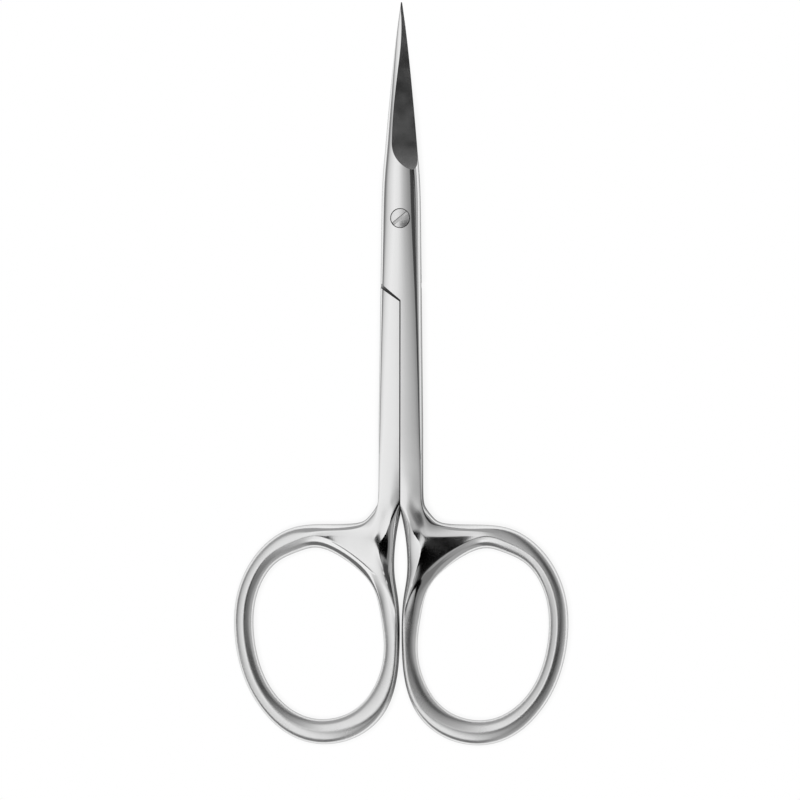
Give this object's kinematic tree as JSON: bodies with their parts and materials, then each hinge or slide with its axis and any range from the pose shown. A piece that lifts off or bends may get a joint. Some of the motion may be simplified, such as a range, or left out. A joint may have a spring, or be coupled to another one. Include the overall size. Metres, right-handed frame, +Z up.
{
  "type": "nail scissors",
  "caption": "Nail scissors with slim pointed straight blades, a lap joint on a slotted pivot screw, and oval finger rings.",
  "frame": {"origin": "on the surface that the closed scissors lie on, under the middle of their box", "axes": "+Y from the finger rings to the tips, +X to the side of the upper half's ring, +Z up along the pivot, out of the screw's head"},
  "size_m": [0.0452, 0.1, 0.003],
  "materials": {
    "polished_steel": "mirror-polished stainless steel with satin ground facets on the blades",
    "screw_steel": "turned stainless steel, lightly polished"
  },
  "bodies": {
    "lower": {"lower_half": "polished_steel", "pivot_screw": "screw_steel"},
    "upper": {"upper_half": "polished_steel"}
  },
  "joints": [
    {"name": "pivot", "type": "hinge", "parent": "lower", "child": "upper", "pos_m": [0, 0.02086, 0.00146], "axis": [0, 0, 1], "range_deg": [0, 95]}
  ]
}
